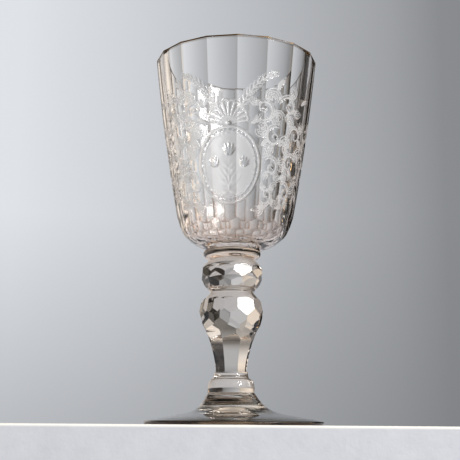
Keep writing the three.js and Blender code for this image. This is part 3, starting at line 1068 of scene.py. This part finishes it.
# The room: rise above the horizon, warmth, and the level at each turn. It is dark back right, pale at the
# left, bright up behind the viewer's right shoulder, and warmest below and above.
ROOM = [
    (-50, 1.5, [
        (-180, 0.1), (-150, 0.5), (-125, 0.8), (-100, 0.4), (-60, 0.7), (-30, 0.6), (0, 0.5), (17, 0.12),
        (80, 0.1), (150, 0.1),
    ]),
    (-8, 1.3, [(-180, 0.12), (-110, 0.4), (-75, 0.7), (-45, 1.2), (-20, 0.6), (16, 0.015), (150, 0.015)]),
    (4, 1.25, [
        (-180, 0.12), (-150, 0.2), (-100, 0.3), (-72, 0.8), (-46, 1.15), (-15, 0.6), (16, 0.015), (95, 0.015),
        (110, 0.1), (135, 0.25), (155, 0.15),
    ]),
    (14, 1.25, [
        (-180, 0.12), (-150, 0.1), (-110, 0.6), (-75, 0.3), (-50, 1.0), (-38, 0.75), (-26, 1.0), (-15, 0.9),
        (10, 0.45), (22, 0.2), (27, 0.015), (90, 0.015), (110, 0.4), (135, 0.8), (155, 0.15),
    ]),
    (21, 1.1, [
        (-180, 0.1), (-70, 0.1), (-40, 0.05), (-27, 0.95), (-18, 0.6), (14, 0.3), (22, 0.015), (80, 0.015),
        (105, 1.0), (160, 1.0),
    ]),
    (32, 1.1, [
        (-180, 0.1), (-110, 0.3), (-70, 0.1), (-38, 0.1), (-26, 0.4), (-15, 0.4), (0, 0.12), (31, 0.04),
        (40, 1.2), (60, 1.1), (105, 1.8), (140, 2.4), (165, 1.4),
    ]),
    (55, 1.3, [
        (-180, 0.3), (-140, 0.1), (-90, 0.1), (-45, 0.8), (-15, 0.5), (4, 0.7), (30, 0.9), (50, 1.2),
        (80, 1.6), (110, 1.2), (150, 0.5),
    ]),
    (80, 1.4, [(-180, 0.3), (-60, 0.6), (-10, 0.2), (60, 0.8), (110, 0.7)]),
]
DIFFUSE_LIGHT = (0.72, 0.73, 0.755, 1)


def warm(warmth):
    """A tint whose red is warmth times its blue."""
    return warmth**0.45, 1.0, warmth**-0.55


def round_ramp(tree, azimuth, levels, tint):
    """A colour by direction, from (turn, level) stops that start at -180 and meet again at 180."""
    stops = []
    for turn, level in levels + [(180, levels[0][1])]:
        stops.append(((turn + 180) / 360, [level * part for part in tint]))
    return tones(tree, between(tree, azimuth, -180, 180), stops)


def studio_world():
    world = bpy.data.worlds.new("studio")
    world.use_nodes = True
    tree = world.node_tree
    tree.nodes.clear()
    x, y, z = place_parts(tree, "Generated")
    azimuth = math_node(tree, "MULTIPLY", math_node(tree, "ARCTAN2", x, y), math.degrees(1))
    elevation = math_node(tree, "MULTIPLY", math_node(tree, "ARCSINE", z), math.degrees(1))
    high_part = round_ramp(tree, azimuth, [(turn, up) for turn, up, _ in BACKDROP], BACKDROP_TINT)
    low_part = round_ramp(tree, azimuth, [(turn, down) for turn, _, down in BACKDROP], BACKDROP_TINT)
    backdrop = mix(tree, between(tree, elevation, 0, BACKDROP_RISE), low_part, high_part)
    room, last_rise = None, 0
    for rise, warmth, levels in ROOM:
        band = round_ramp(tree, azimuth, levels, warm(warmth))
        room = mix(tree, between(tree, elevation, last_rise, rise), room, band) if room else band
        last_rise = rise
    aside = between(tree, math_node(tree, "ABSOLUTE", azimuth), *BACKDROP_SIDES)
    above = between(tree, elevation, *BACKDROP_TOP)
    seen_by_glass = mix(tree, math_node(tree, "MAXIMUM", aside, above), backdrop, room)
    path = node(tree, "ShaderNodeLightPath")
    shown = mix(tree, path.outputs["Is Camera Ray"], seen_by_glass, backdrop)
    light = node(tree, "ShaderNodeBackground")
    feed(tree, mix(tree, path.outputs["Is Diffuse Ray"], shown, DIFFUSE_LIGHT), light.inputs["Color"])
    out = node(tree, "ShaderNodeOutputWorld")
    tree.links.new(light.outputs["Background"], out.inputs["Surface"])
    bpy.context.scene.world = world


studio_world()

# The lamps stand this far, in metres, from a point at this height on the goblet's axis
LAMP_DISTANCE = 0.9
LAMP_AIM = 0.08


def softbox(name, turn, rise, wide, tall, radiance, roll=0, tint=(1, 1, 1)):
    """A soft lamp. turn goes right from the viewer's side, and place, size and roll are in degrees."""
    lamp = bpy.data.lights.new(name, "AREA")
    lamp.shape = "RECTANGLE"
    lamp.size, lamp.size_y = (2 * LAMP_DISTANCE * math.tan(math.radians(size / 2)) for size in (wide, tall))
    lamp.energy = radiance * math.pi * lamp.size * lamp.size_y
    lamp.color = tint
    obj = bpy.data.objects.new(name, lamp)
    bpy.context.scene.collection.objects.link(obj)
    a, e = math.radians(turn), math.radians(rise)
    out = Vector((math.sin(a) * math.cos(e), -math.cos(a) * math.cos(e), math.sin(e)))
    facing = out.to_track_quat("Z", "Y").to_matrix().to_4x4()
    place = Matrix.Translation(Vector((0, 0, LAMP_AIM)) + out * LAMP_DISTANCE)
    obj.matrix_world = place @ facing @ Matrix.Rotation(math.radians(roll), 4, "Z")
    obj.visible_camera = False


softbox("key softbox", 53.5, 22.2, 19, 6.5, 16.0, roll=34)
softbox("upper softbox", 51, 38, 24, 7, 10.0)
softbox("low softbox", 42.5, 15.9, 8, 4.4, 16.0)
softbox("warm lamp", 113, 4, 3.5, 9, 4.0, tint=(1.0, 0.62, 0.3))


# The camera: a long lens a little under the plinth's top, tilted up, held a trace off level
def camera():
    focal_pixels, frame_pixels = 984, 460
    tilt, roll = math.radians(11.26), 0.0078
    place = (-0.0022, -0.422, -0.0004)
    data = bpy.data.cameras.new("camera")
    data.sensor_width = 36
    data.lens = focal_pixels / frame_pixels * data.sensor_width
    obj = bpy.data.objects.new("camera", data)
    bpy.context.scene.collection.objects.link(obj)
    turn = Matrix.Rotation(math.pi / 2 + tilt, 4, "X") @ Matrix.Rotation(roll, 4, "Z")
    obj.matrix_world = Matrix.Translation(place) @ turn
    bpy.context.scene.camera = obj


camera()
bpy.context.scene.view_settings.view_transform = "Standard"
